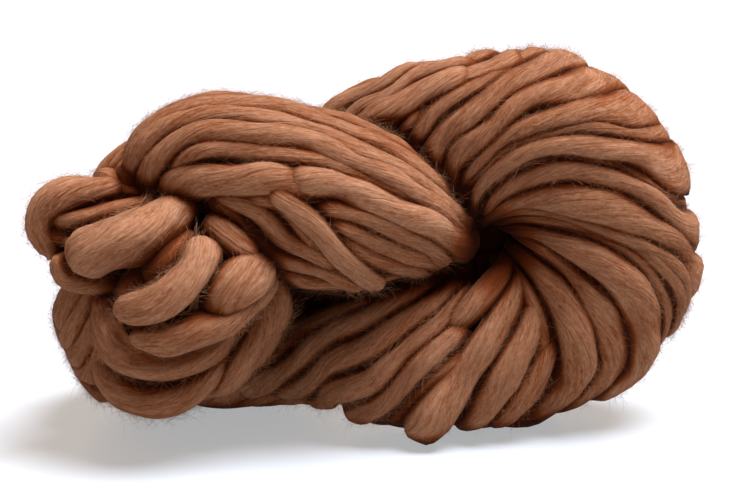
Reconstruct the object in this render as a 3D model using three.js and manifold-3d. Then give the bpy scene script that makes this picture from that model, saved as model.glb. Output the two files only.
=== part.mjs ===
import * as THREE from 'three';
import { mergeVertices } from 'three/addons/utils/BufferGeometryUtils.js';
import Module from 'manifold-3d';

// A hank of chunky roving: one very thick, soft yarn wound into a long loop, twisted into a rope
// and doubled back on itself. The doubled end makes a fat ring at the right, one arm is tucked
// into the eye of the ring, and the yarn's last loops sit in a knot at the front left.
// Millimetres. X runs along the hank, Y goes away from the front, Z is up, the table is Z = 0.
// The whole yarn is one piece, so the hank is one solid, with its main turns raised on it.

// The roving and how its turns lie
const ROVING = 17;                // thickness of one turn of yarn where it lies loose
const FURROW = 6;                 // how deep the furrow between two turns sinks
const FURROW_SHARPNESS = 0.95;    // 1 would make the furrow a knife cut
const ACROSS_TURN = [-0.25, 0.25, 0.5];  // where points lie across a turn: crest at 0, furrow at 0.5

// The tables below are written from the point of the table under the hank's thickest part. This
// is where the middle of the whole hank lies from there, and it becomes the origin.
const MIDDLE = { x: 3.1, y: -8.2 };

// The ring at the right: the middle of its eye, and the eye's radius
const RING = { x: 58, y: 0, z: 85, eye: 5 };

// The ring's rim: angle in degrees from +X towards +Z, reach from the eye, half the ring's depth,
// and place in Y. The first and last rows close the ring inside the arms.
const RIM = [
  { angle: -138, reach: 55, depth: 18, back: -6 },
  { angle: -122, reach: 80, depth: 34, back: -6 },
  { angle: -100, reach: 87, depth: 39, back: -4 },
  { angle: -70, reach: 87, depth: 39, back: 0 },
  { angle: -40, reach: 93, depth: 39, back: 0 },
  { angle: -15, reach: 95, depth: 39, back: 0 },
  { angle: 10, reach: 90, depth: 39, back: 0 },
  { angle: 40, reach: 93, depth: 39, back: 0 },
  { angle: 70, reach: 92, depth: 39, back: 0 },
  { angle: 95, reach: 86, depth: 39, back: 2 },
  { angle: 120, reach: 88, depth: 39, back: 9 },
  { angle: 143, reach: 95, depth: 37, back: 20 },
  { angle: 162, reach: 84, depth: 26, back: 26 },
  { angle: 176, reach: 52, depth: 14, back: 28 },
];

// The straight arms. Each row is a section across the arm: its middle (x, y, z), its half height
// and its half depth. The first and last rows close the arm inside its neighbours.
const LOWER_ARM = [
  { x: 64, y: -8, z: 38, tall: 12, deep: 12 },
  { x: 50, y: -12, z: 37, tall: 32, deep: 30 },
  { x: 30, y: -18, z: 34.5, tall: 36, deep: 35 },
  { x: 12, y: -17, z: 32.5, tall: 35, deep: 35 },
  { x: -6, y: -9, z: 33, tall: 30, deep: 32 },
  { x: -28, y: 0, z: 28, tall: 26, deep: 29 },
  { x: -50, y: 4, z: 25, tall: 26, deep: 28 },
  { x: -74, y: 4, z: 24, tall: 25, deep: 27 },
  { x: -90, y: 4, z: 28, tall: 18, deep: 20 },
  { x: -98, y: 4, z: 32, tall: 8, deep: 9 },
];
const BACK_ARM = [
  { x: 50, y: 8, z: 126, tall: 14, deep: 14 },
  { x: 30, y: 14, z: 122, tall: 36, deep: 34 },
  { x: 7, y: 26, z: 106, tall: 41, deep: 37 },
  { x: -17, y: 36, z: 78, tall: 40, deep: 36 },
  { x: -44, y: 41, z: 46, tall: 40, deep: 36 },
  { x: -74, y: 38, z: 35, tall: 39, deep: 36 },
  { x: -98, y: 22, z: 44, tall: 35, deep: 34 },
  { x: -105, y: 2, z: 64, tall: 30, deep: 32 },
  { x: -101, y: -10, z: 90, tall: 28, deep: 30 },
  { x: -88, y: -17, z: 112, tall: 25, deep: 27 },
  { x: -72, y: -22, z: 122, tall: 10, deep: 12 },
];
const UPPER_ARM = [
  { x: -100, y: -10, z: 108, tall: 12, deep: 14 },
  { x: -87, y: -17, z: 119, tall: 25, deep: 27 },
  { x: -66, y: -27, z: 126, tall: 31, deep: 33 },
  { x: -44, y: -34, z: 120, tall: 37, deep: 36 },
  { x: -22, y: -35, z: 109, tall: 42, deep: 37 },
  { x: -1, y: -33, z: 103, tall: 38, deep: 36 },
  { x: 17, y: -29, z: 97, tall: 30, deep: 31 },
  { x: 34, y: -22, z: 90, tall: 22, deep: 25 },
  { x: 49, y: -10, z: 86, tall: 14, deep: 17 },
  { x: 59, y: 6, z: 84, tall: 18, deep: 18 },
  { x: 59, y: 30, z: 84, tall: 16, deep: 16 },
];

// How the turns lie: their spacing along the arm, how many lie side by side round it (below
// zero where they wind the other way), and the sides that carry them. The ring's spacing is in
// degrees of the ring.
const ARMS = [
  { rows: LOWER_ARM, spacing: 18, around: 9, sides: 15 },
  { rows: BACK_ARM, spacing: 18, around: 9, sides: 18 },
  { rows: UPPER_ARM, spacing: 32, around: -13, sides: 19 },
];
const RING_TURNS = { spacing: 14, around: 13, sides: 18 };

// The knot and the loose turns: how plump the yarn is there, and its way through the air (x, y, z)
const LOOPS = [
  { name: 'outer bowl', plump: 1.12, way: [[-108, -46, 54], [-108, -58, 38], [-92, -62, 27], [-71, -60, 33], [-57, -52, 52]] },
  { name: 'second bowl', plump: 1.06, way: [[-104, -58, 74], [-108, -66, 57], [-94, -70, 43], [-72, -68, 47], [-57, -60, 62]] },
  { name: 'inner bowl', plump: 1, way: [[-98, -72, 64], [-86, -80, 56], [-68, -80, 57], [-50, -72, 69], [-42, -58, 84]] },
  { name: 'middle roll', plump: 1.06, way: [[-100, -70, 75], [-94, -80, 67], [-80, -84, 72], [-69, -80, 84], [-66, -68, 99]] },
  { name: 'upper petal', plump: 1.06, way: [[-68, -46, 108], [-56, -58, 98], [-48, -60, 84]] },
  { name: 'bright petal', plump: 1.3, way: [[-46, -62, 96], [-50, -73, 85], [-58, -74, 74], [-70, -64, 69]] },
  { name: 'right side', plump: 1, way: [[-44, -44, 98], [-37, -54, 78], [-39, -56, 58], [-50, -54, 42], [-68, -46, 31]] },
  { name: 'behind the roll', plump: 0.94, way: [[-94, -62, 76], [-84, -64, 86], [-74, -60, 94]] },
  { name: 'left end, outside', plump: 1, way: [[-110, 0, 84], [-127, -6, 68], [-130, -12, 48], [-122, -18, 30], [-106, -22, 17]] },
  { name: 'left end, inside', plump: 1, way: [[-104, -24, 84], [-118, -26, 68], [-121, -30, 48], [-114, -34, 30], [-96, -36, 20]] },
  { name: 'long loop', plump: 1.3, way: [[-70, -52, 112], [-88, -63, 105], [-110, -66, 95], [-117, -62, 85], [-100, -60, 81], [-82, -54, 84]] },
  { name: 'long loop, behind', plump: 1, way: [[-80, -44, 112], [-103, -52, 108], [-120, -52, 96]] },
  { name: 'far loop', plump: 1, way: [[-98, -30, 112], [-118, -44, 115], [-134, -46, 107], [-134, -46, 97], [-116, -44, 92]] },
  { name: 'turn on the table', plump: 1.3, way: [[64, -34, 64], [54, -43, 42], [42, -44, 20], [32, -39, 3]] },
  { name: 'knot heart', plump: 3.5, way: [[-90, -20, 56], [-80, -28, 68], [-66, -20, 88]] },
  { name: 'inner turns', plump: 3, way: [[-84, 6, 66], [-50, 6, 68], [-16, -4, 72], [12, -8, 73], [46, 0, 68]] },
];
const LOOP_SIDES = 7;
const LOOP_STEP = 9.5;            // length of one step along a loop
const END_ROUNDNESS = 8;          // higher makes a loop's ends blunter
const END_SIZE = 0.35;            // how thick a loop still is at its very end, as a share

const SAME_POINT = 0.01;          // points nearer than this are one point

const WOOL = { color: 0x9a6446, roughness: 0.95, metalness: 0 };

const wasm = await Module();
wasm.setup();

// The point of a section at one angle: 0 faces the front, a quarter turn faces the travel's right
function sectionPoint({ middle, along, tall, deep }, angle, sink = 0) {
  const front = new THREE.Vector3(0, -1, 0).addScaledVector(along, along.y).normalize();
  const right = new THREE.Vector3().crossVectors(along, front);
  return middle.clone()
    .addScaledVector(front, (deep - sink) * Math.cos(angle))
    .addScaledVector(right, (tall - sink) * Math.sin(angle));
}

// How far the skin lies below the crest at a place across a turn: the arc of a round yarn
function sinkAt(across) {
  return FURROW * (1 - Math.sqrt(1 - FURROW_SHARPNESS * (2 * across) ** 2));
}

// A closed skin over lines of points that run lengthwise, line after line round the tube. Each
// line's start is its place in the pattern of turns, so the edges between lines follow the turns.
function skin(lines, starts, wholeRound, ends) {
  const count = lines[0].length;
  const last = count - 1;
  const points = [...lines.flat(), ...ends];
  const firstEnd = lines.length * count;
  const faces = [];
  lines.forEach((_, j) => {
    const closes = j + 1 === lines.length;
    const here = j * count;
    const next = closes ? 0 : here + count;
    const nextStart = closes ? starts[0] + wholeRound : starts[j + 1];
    let p = 0;
    let q = 0;
    while (p < last || q < last) {
      if (q === last || (p < last && p + starts[j] <= q + nextStart)) {
        faces.push(here + p, next + q, here + p + 1);
        p += 1;
      } else {
        faces.push(here + p, next + q, next + q + 1);
        q += 1;
      }
    }
    faces.push(firstEnd, next, here, firstEnd + 1, here + last, next + last);
  });
  const geometry = new THREE.BufferGeometry().setFromPoints(points);
  geometry.setIndex(faces);
  return geometry;
}

// A tube with turns of yarn winding round it. A place is measured along the tube from 0 to its
// length, sectionAt gives the section there, and lean says how far a turn has travelled at an
// angle round the tube, as a share of its travel in one whole round.
function woundTube({ length, spacing, around, sides, sectionAt, lean }) {
  const each = ACROSS_TURN.length;
  const across = (n) => ACROSS_TURN[THREE.MathUtils.euclideanModulo(n, each)];
  const turnPlace = (n) => Math.floor(n / each) + across(n);
  const columns = Math.floor(each * (length / spacing - Math.max(...ACROSS_TURN)));
  const starts = [];
  const lines = [];
  for (let j = 0; j < sides; j++) {
    const angle = 2 * Math.PI * j / sides;
    const travel = around * lean(angle);
    let start = each * (Math.floor(travel) - 1);
    while (turnPlace(start) < travel) start += 1;
    starts.push(start);
    lines.push(Array.from({ length: columns }, (_, m) => {
      const section = sectionAt((turnPlace(start + m) - travel) * spacing);
      return sectionPoint(section, angle, sinkAt(across(start + m)));
    }));
  }
  return skin(lines, starts, each * around, [sectionAt(0).middle, sectionAt(length).middle]);
}

// An arm: a wound tube on a smooth line through its rows
function arm({ rows, ...turns }) {
  const line = new THREE.CatmullRomCurve3(rows.map((r) => new THREE.Vector3(r.x, r.y, r.z)));
  const size = new THREE.CatmullRomCurve3(rows.map((r) => new THREE.Vector3(r.tall, r.deep, 0)));
  const length = line.getLength();
  const sectionAt = (place) => {
    const t = line.getUtoTmapping(THREE.MathUtils.clamp(place / length, 0, 1));
    const { x: tall, y: deep } = size.getPoint(t);
    return { middle: line.getPoint(t), along: line.getTangent(t), tall, deep };
  };
  return woundTube({ length, sectionAt, lean: (angle) => angle / (2 * Math.PI), ...turns });
}

// The rim at an angle of the ring, eased between the rows of its table
function rimAt(angle) {
  const degrees = THREE.MathUtils.clamp(angle, RIM[0].angle, RIM.at(-1).angle);
  const after = Math.max(1, RIM.findIndex((row) => row.angle >= degrees));
  const [a, b] = [RIM[after - 1], RIM[after]];
  const share = THREE.MathUtils.smoothstep(degrees, a.angle, b.angle);
  const eased = (column) => THREE.MathUtils.lerp(a[column], b[column], share);
  return { reach: eased('reach'), depth: eased('depth'), back: eased('back') };
}

// The ring: a wound tube bent round the eye, its places measured in degrees. A turn of yarn
// crosses the rim square and leans more and more towards the eye, which the cosine adds.
function ring() {
  const from = RIM[0].angle;
  const sectionAt = (place) => {
    const { reach, depth, back } = rimAt(from + place);
    const bend = THREE.MathUtils.degToRad(from + place);
    const tall = (reach - RING.eye) / 2;
    const outward = new THREE.Vector3(Math.cos(bend), 0, Math.sin(bend));
    const along = new THREE.Vector3(-outward.z, 0, outward.x);
    const middle = new THREE.Vector3(RING.x, RING.y + back, RING.z);
    return { middle: middle.addScaledVector(outward, RING.eye + tall), along, tall, deep: depth };
  };
  const lean = (angle) => (angle + Math.cos(angle)) / (2 * Math.PI);
  return woundTube({ length: RIM.at(-1).angle - from, sectionAt, lean, ...RING_TURNS });
}

// A loop of the knot: one turn of yarn on its own way, with round ends
function loop({ plump, way }) {
  const line = new THREE.CatmullRomCurve3(way.map(([x, y, z]) => new THREE.Vector3(x, y, z)));
  const steps = Math.ceil(line.getLength() / LOOP_STEP) + 2;
  const sections = Array.from({ length: steps + 1 }, (_, i) => {
    const end = Math.abs(2 * i / steps - 1);
    const half = ROVING * plump / 2 * Math.sqrt(Math.max(END_SIZE ** 2, 1 - end ** END_ROUNDNESS));
    return { middle: line.getPointAt(i / steps), along: line.getTangentAt(i / steps), tall: half, deep: half };
  });
  const lines = Array.from({ length: LOOP_SIDES }, (_, j) => (
    sections.map((section) => sectionPoint(section, 2 * Math.PI * j / LOOP_SIDES))
  ));
  return skin(lines, lines.map(() => 0), 0, [sections[0].middle, sections.at(-1).middle]);
}

// Everything under the table's surface, which presses flat spots where the hank rests
function underTable() {
  const size = 600;
  return new THREE.BoxGeometry(size, size, size).translate(0, 0, -size / 2);
}

function toSolid(geometry) {
  const shape = geometry.clone();
  shape.deleteAttribute('normal');
  shape.deleteAttribute('uv');
  const merged = mergeVertices(shape, SAME_POINT);
  return new wasm.Manifold(new wasm.Mesh({
    numProp: 3,
    vertProperties: merged.attributes.position.array,
    triVerts: new Uint32Array(merged.index.array),
  }));
}

function toGeometry(solid) {
  const { vertProperties, triVerts } = solid.getMesh();
  const geometry = new THREE.BufferGeometry();
  geometry.setAttribute('position', new THREE.BufferAttribute(vertProperties, 3));
  geometry.setIndex(new THREE.BufferAttribute(triVerts, 1));
  return geometry;
}

// The hank's outer skin. Small pockets shut in between the turns are wool too, and a crumb that
// the joining leaves hanging by one point isn't, so only the largest of the bodies is kept.
function hankSolid() {
  const turns = [ring(), ...ARMS.map(arm), ...LOOPS.map(loop)].map(toSolid);
  const joined = turns.reduce((whole, turn) => whole.add(turn)).subtract(toSolid(underTable()));
  const bodies = toSolid(toGeometry(joined)).decompose();
  return bodies.reduce((largest, body) => (body.volume() > largest.volume() ? body : largest));
}

const hank = new THREE.Mesh(toGeometry(hankSolid()), new THREE.MeshStandardMaterial(WOOL));
hank.name = 'hank';
hank.position.set(-MIDDLE.x, -MIDDLE.y, 0);

const group = new THREE.Group();
group.add(hank);

export default group;
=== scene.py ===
# %% [markdown]
# # A hank of chunky roving
#
# Roving is wool that has been combed and only just twisted, so one turn of it is as thick as a
# thumb and soft enough to dent. A hank is many metres of it wound into a loop, twisted and doubled
# back. The finished solid gives the bundles their places. Here every turn that shows is built as
# its own soft strand lying on those bundles, with fibres, dark furrows whose darkness is partly
# painted shade, and stray hairs.

import bpy
import mathutils
import numpy as np
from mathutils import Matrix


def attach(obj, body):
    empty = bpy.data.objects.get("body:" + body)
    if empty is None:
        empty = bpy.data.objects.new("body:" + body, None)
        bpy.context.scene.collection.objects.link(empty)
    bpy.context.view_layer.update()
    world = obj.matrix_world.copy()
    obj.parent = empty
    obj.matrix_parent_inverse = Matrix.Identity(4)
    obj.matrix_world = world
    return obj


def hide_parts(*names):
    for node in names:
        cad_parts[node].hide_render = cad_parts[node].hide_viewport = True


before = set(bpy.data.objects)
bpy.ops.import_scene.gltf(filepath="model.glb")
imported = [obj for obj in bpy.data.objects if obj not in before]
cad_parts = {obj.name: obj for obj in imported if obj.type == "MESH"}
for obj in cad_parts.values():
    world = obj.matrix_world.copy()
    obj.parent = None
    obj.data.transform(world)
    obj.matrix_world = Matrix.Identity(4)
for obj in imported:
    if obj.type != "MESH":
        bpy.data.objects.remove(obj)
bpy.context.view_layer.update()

# %% [markdown]
# ## Sizes
#
# Everything is worked out in millimetres from a point of the table under the hank, as a maker
# would measure it, and moved to the model's own origin at the very end. One seeded source of
# chance makes every run give the same wool.

# %% Driving sizes
MM = 0.001
MIDDLE = np.array([3.1, -8.2, 0.0])      # the model's origin, from the point on the table
ROVING = 17.0                            # thickness of one loose turn
STEP = 2.8                               # length of one cell of a strand's skin
CELLS_AROUND = 18                        # cells round a strand
TABLE_CLEARANCE = 0.2                    # how far the lowest wool stays above the table
EYE = np.array([58.0, 0.0, 85.0])        # the middle of the ring's eye
EYE_RADIUS = 5.0
chance = np.random.default_rng(11)
print(f"one turn is {ROVING} mm thick, with a point of skin about every {STEP} mm")

# %% [markdown]
# ## Smooth lines
#
# Yarn has no corners. A path is given by a few points, and a smooth line is led through them. The
# few helpers here do that for whole arrays of points at once.

# %% Helpers for lines
def unit(v):
    """Each vector divided by its own length."""
    return v / np.maximum(np.linalg.norm(v, axis=-1, keepdims=True), 1e-9)


def soft_step(s):
    """s^2 (3 - 2 s), with s held between 0 and 1: it starts and ends level."""
    s = np.clip(s, 0, 1)
    return s * s * (3 - 2 * s)


def travelled(points, power=1.0):
    """How far along a line of points each one is: the running sum of gap ^ power."""
    gaps = np.linalg.norm(np.diff(points, axis=0), axis=1)
    return np.r_[0, np.cumsum(gaps ** power)]


def columns_at(places, known, rows):
    """The rows' columns at places between the known ones, each on a straight line."""
    return np.stack([np.interp(places, known, column) for column in rows.T], 1)


def cubic(knots, rows, t):
    """A smooth curve through the rows: between two rows, a cubic in the share u of the way that
    passes through both and leaves each with the slope of its neighbours."""
    slopes = np.gradient(rows, knots, axis=0)
    i = np.clip(np.searchsorted(knots, t, side="right") - 1, 0, len(knots) - 2)
    h = (knots[i + 1] - knots[i])[:, None]
    u = (t - knots[i])[:, None] / h
    return ((2 * u**3 - 3 * u**2 + 1) * rows[i] + (u**3 - 2 * u**2 + u) * h * slopes[i]
            + (3 * u**2 - 2 * u**3) * rows[i + 1] + (u**3 - u**2) * h * slopes[i + 1])


POINTS_A_ROW = 60                        # on the fine line that the even one is taken from


def smooth_line(rows, step=1.0):
    """Rows eased into a line with a point every step. The knots lie by the root of each gap,
    which keeps a cubic from swinging out where a short gap follows a long one."""
    rows = np.asarray(rows, float)
    knots = travelled(rows[:, :3], 0.5)
    line = cubic(knots, rows, np.linspace(0, knots[-1], POINTS_A_ROW * len(rows)))
    far = travelled(line[:, :3])
    places = np.linspace(0, far[-1], max(2, int(far[-1] / step) + 1))
    return places, columns_at(places, far, line)


def eased(route, count=160):
    """A route's few pairs of place and angle joined by a smooth curve, evenly from end to end."""
    route = np.asarray(route, float)
    return cubic(np.linspace(0, 1, len(route)), route, np.linspace(0, 1, count))


print("a line through three points:", np.round(eased([(0, 0), (1, 1), (2, 0)], 5), 2).tolist())

# %% [markdown]
# ## The bundles
#
# The hank has four bundles of turns: the ring at the right and three arms. A row of a table is a
# cross-section of one: its middle, half its height and half its depth. A smooth line through the
# rows gives the bundle at every place along it.

# %% The bundles' cross-sections
LOWER_ARM = [  # x, y, z, half height, half depth
    (64, -8, 38, 12, 12), (50, -12, 37, 32, 30), (30, -18, 34.5, 36, 35), (12, -17, 32.5, 35, 35),
    (-6, -9, 33, 30, 32), (-28, 0, 28, 26, 29), (-50, 4, 25, 26, 28), (-74, 4, 24, 25, 27),
    (-90, 4, 28, 18, 20), (-98, 4, 32, 8, 9),
]
BACK_ARM = [
    (50, 8, 126, 14, 14), (30, 14, 122, 36, 34), (7, 26, 106, 41, 37), (-17, 36, 78, 40, 36),
    (-44, 41, 46, 40, 36), (-74, 38, 35, 39, 36), (-98, 22, 44, 35, 34), (-105, 2, 64, 30, 32),
    (-101, -10, 90, 28, 30), (-88, -17, 112, 25, 27), (-72, -22, 122, 10, 12),
]
UPPER_ARM = [
    (-100, -10, 108, 12, 14), (-87, -17, 119, 25, 27), (-66, -27, 126, 31, 33),
    (-44, -34, 120, 37, 36), (-22, -35, 109, 42, 37), (-1, -33, 103, 38, 36),
    (15, -26, 97, 30, 30), (30, -12, 90, 22, 22), (43, 5, 86, 14, 14), (49, 18, 85, 9, 9),
    (49, 32, 84, 7, 7),
]
RIM = np.array([  # ring angle, reach from the eye, half depth, place in y
    (-138, 55, 18, -6), (-122, 80, 34, -6), (-100, 87, 39, -4), (-70, 87, 39, 0), (-40, 93, 39, 0),
    (-15, 95, 39, 0), (10, 90, 39, 0), (40, 93, 39, 0), (70, 92, 39, 0), (95, 86, 39, 2),
    (120, 88, 39, 9), (143, 95, 37, 20), (162, 84, 26, 26), (176, 52, 14, 28),
], float)
print("sections given:", len(LOWER_ARM), len(BACK_ARM), len(UPPER_ARM), len(RIM))

# %% Points on a bundle
MOST_SUNK = 0.8                          # of the smaller half size, so no point passes the middle


def arm(rows):
    """An arm's sections, one a millimetre. Its front is the side nearest -Y and square to its
    run, and its right is the run crossed with the front."""
    places, line = smooth_line(rows)
    run = unit(np.gradient(line[:, :3], places, axis=0))
    front = unit(np.array([0.0, -1.0, 0.0]) + run * run[:, 1:2])
    right = np.cross(run, front)
    return {"places": places, "sections": np.hstack([line, front, right])}


def on_oval(middle, front, side, deep, tall, angles, sink):
    """Points under an oval skin: middle + front (deep - sink) cos a + side (tall - sink) sin a,
    and the way out of the skin there."""
    a = np.radians(angles)[:, None]
    room = np.minimum(sink[:, None], MOST_SUNK * np.minimum(tall, deep))
    points = middle + front * (deep - room) * np.cos(a) + side * (tall - room) * np.sin(a)
    return points, unit(front * np.cos(a) / deep + side * np.sin(a) / tall)


def on_arm(bundle, places, angles, sink):
    """Points under an arm's skin, by place along it and angle round it from its front."""
    at = columns_at(places, bundle["places"], bundle["sections"])
    middle, tall, deep, front, right = at[:, :3], at[:, 3:4], at[:, 4:5], at[:, 5:8], at[:, 8:]
    return on_oval(middle, front, right, deep, tall, angles, sink)


def lay_on(bundle):
    """Lays points on one arm, as on_ring lays them on the ring."""
    return lambda places, angles, sink: on_arm(bundle, places, angles, sink)


def on_ring(bends, angles, sink):
    """Points under the ring's skin. The bend is the place round the eye in degrees, and the angle
    goes round the section: -90 at the eye, 0 at the front, 90 at the rim."""
    after = np.clip(np.searchsorted(RIM[:, 0], bends, side="right"), 1, len(RIM) - 1)
    low, high = RIM[after - 1], RIM[after]
    share = soft_step((bends - low[:, 0]) / (high[:, 0] - low[:, 0]))[:, None]
    reach, deep, back = (low * (1 - share) + high * share).T[1:, :, None]
    b = np.radians(bends)[:, None]
    outward = np.hstack([np.cos(b), 0 * b, np.sin(b)])
    front = np.array([[0.0, -1.0, 0.0]])
    tall = (reach - EYE_RADIUS) / 2
    middle = EYE - front * back + outward * (EYE_RADIUS + tall)
    return on_oval(middle, front, outward, deep, tall, angles, sink)


lower_arm, back_arm, upper_arm = arm(LOWER_ARM), arm(BACK_ARM), arm(UPPER_ARM)
print("arm lengths in mm:", [round(b["places"][-1]) for b in (lower_arm, back_arm, upper_arm)])

# %% [markdown]
# ## One soft strand
#
# A strand is an oval carried along a path. Real roving is never even, so its thickness wanders,
# its skin has a few shallow lobes that wind slowly round it, and its ends close up. The point
# each bit of skin has in the straight, untwisted yarn is kept as an attribute, because the fibres
# run along that, and so is how deep it lies in a furrow, which sets a painted shade that makes the
# wool almost black there.

# %% The strand's skin
LOBES = [  # how many round the yarn, height, mm of yarn for one turn of them
    (2, 0.040, 61.0), (3, 0.034, -47.0), (5, 0.024, 52.0), (7, 0.018, 60.0)]
LOBE_STARTS = (0.0, 6.28)                # radians
SQUARE = 0.9                             # below 1 the crest is flatter than an oval's
TWIST = 0.030                            # how far the fibres turn round the yarn, radians a mm
UNEVEN, UNEVEN_LENGTH = 0.045, 26        # how much the thickness wanders, and over how many mm
TIP_LENGTH = 1.1                         # how long the rounded tip is, in half widths
FIBRE_STARTS = (-4000, 4000)             # mm along the straight yarn, so no two strands match


def wander(count, step, length_scale):
    """A smooth random line: noise averaged over a window one length scale wide."""
    window = np.hanning(max(3, int(length_scale / step)) + 2)
    rough = chance.normal(size=count + 2 * len(window))
    even = np.convolve(rough, window, mode="same")
    return even[len(window):-len(window)] / np.sqrt((window ** 2).sum())


def strand(path, out, wide, thick, tips, tone_and_shade):
    """A closed skin: path + out thick C(a) r + side wide S(a) r, with r = 1 plus lobes that wind
    along the yarn. C and S are the cosine and sine to the power SQUARE, which makes the crest
    flatter and the sides steeper than an oval's, as yarn pressed between its neighbours is. At
    each end r falls to the tip's size t, as t + (1 - t) times the root of 1 - (1 - s)^2."""
    count = len(path)
    along = travelled(path)
    run = unit(np.gradient(path, axis=0))
    out = unit(out - run * (out * run).sum(1, keepdims=True))
    side = np.cross(run, out)
    taper = np.ones(count)
    for size, far in ((tips[0], along), (tips[1], along[-1] - along)):
        reach = np.clip(far / (TIP_LENGTH * np.mean(wide)), 0, 1)
        taper *= size + (1 - size) * np.sqrt(1 - (1 - reach) ** 2)
    uneven = 1 + UNEVEN * wander(count, along[-1] / (count - 1), UNEVEN_LENGTH)
    a = np.linspace(0, 2 * np.pi, CELLS_AROUND, endpoint=False)[None]
    turned = a + TWIST * along[:, None]
    starts = chance.uniform(*LOBE_STARTS, len(LOBES))
    bulge = 1 + sum(size * np.sin(n * turned + 2 * np.pi * along[:, None] / pitch + start)
                    for (n, size, pitch), start in zip(LOBES, starts))
    r = bulge * (uneven * taper)[:, None]
    cos, sin = (np.sign(f(a)) * np.abs(f(a)) ** SQUARE for f in (np.cos, np.sin))
    skin = (path[:, None] + out[:, None] * (thick[:, None] * cos * r)[..., None]
            + side[:, None] * (wide[:, None] * sin * r)[..., None])
    straight = np.stack([ROVING / 2 * np.cos(turned) * bulge, ROVING / 2 * np.sin(turned) * bulge,
                         np.broadcast_to(along[:, None], turned.shape)], -1).reshape(-1, 3)
    straight = np.concatenate([straight, [[0, 0, 0], [0, 0, along[-1]]]])
    straight[:, 2] += chance.uniform(*FIBRE_STARTS)
    faced = unit(np.concatenate([(skin - path[:, None]).reshape(-1, 3), -run[:1], run[-1:]]))
    points = np.concatenate([skin.reshape(-1, 3), path[:1], path[-1:]])
    return {"points": points, "rows": count, "straight": straight, "faced": faced,
            "tone_and_shade": np.full(len(points), tone_and_shade), "length": along[-1],
            "inside": (path, run, out, side, wide * taper, thick * taper)}


def tell(title, strands):
    """Prints how many strands there are and how much yarn they hold."""
    metres = sum(one["length"] for one in strands) * MM
    print(f"{title}: {len(strands)} strands, {metres:.1f} m of yarn")


# %% [markdown]
# ## How deep the wool lies, for painted shade
#
# In a furrow wool looks almost black, because light has to find its way in between the turns.
# That shade is painted into the wool's colour. Space is cut into small cells, the cells with wool
# in them are filled, and from every point of skin a few short lines look outwards. The share of
# them that wool stops is how buried it is, and so how much painted shade it gets.

# %% Cells of wool
CELL = 2.0                               # mm
CELLS_FROM = np.array([-172.0, -112.0, -12.0])
CELLS_TO = np.array([182.0, 116.0, 202.0])
LOOKS = 16                               # lines from each point of skin
LOOK_TURN = 2.39996                      # radians from one line to the next, the golden angle
LOOK_PLACES = np.array([1.6, 3.4, 5.6, 8.4, 12.0, 18.0])   # mm out, where each line feels for wool
LOOK_LENGTHS = np.array([1.8, 2.0, 2.5, 2.8, 2.5, 1.6])    # mm of line that each place counts for
SLANT = [0.31, 0.52, 0.79]               # any direction, to turn the lines about the skin's own
THICKNESS_TO_HIDE = 3.2                  # mm of wool that stop two thirds of the light
OPEN_VIEW = 0.86                         # what a lone strand's own skin sees
EYE_PAINTED_SHADE_REACH = 34.0                    # how far from the eye its painted shade is felt
EYE_PAINTED_SHADE = 0.6                           # how much painted shade the skin at its middle gets


def fill(full, cells):
    """Sets cells to 1, those past the edge in the last cell inside it."""
    cells = np.clip(cells.reshape(-1, 3), 0, np.array(full.shape) - 1)
    full[tuple(cells.T)] = 1


def wool_cells(strands, tubes):
    """How full of wool each cell is: 1 inside the ovals of the strands and in the tubes' skins and
    under the table, 0 elsewhere, then averaged with its neighbours. The table's cells give wool
    near it a painted contact shadow."""
    full = np.zeros(((CELLS_TO - CELLS_FROM) / CELL).astype(int), np.float32)
    # The table counts as wool here, so wool close to it gets painted shade.
    full[:, :, :int(-CELLS_FROM[2] / CELL)] = 1
    for one in strands:
        path, run, out, side, wide, thick = one["inside"]
        reach = int(np.ceil(max(wide.max(), thick.max()) / CELL))
        steps = np.arange(-reach, reach + 1)
        block = np.stack(np.meshgrid(steps, steps, steps, indexing="ij"), -1).reshape(1, -1, 3)
        cells = np.round((path - CELLS_FROM) / CELL).astype(int)[:, None] + block
        away = cells * CELL + CELLS_FROM - path[:, None]
        size = sum(((away * axis[:, None]).sum(2) / half[:, None]) ** 2
                   for axis, half in ((run, wide), (side, wide), (out, thick)))
        fill(full, cells[size < 1])
    fill(full, np.round((tubes - CELLS_FROM) / CELL).astype(int))
    for axis in range(3):
        full = (np.roll(full, 1, axis) + 2 * full + np.roll(full, -1, axis)) / 4
    return full


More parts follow.
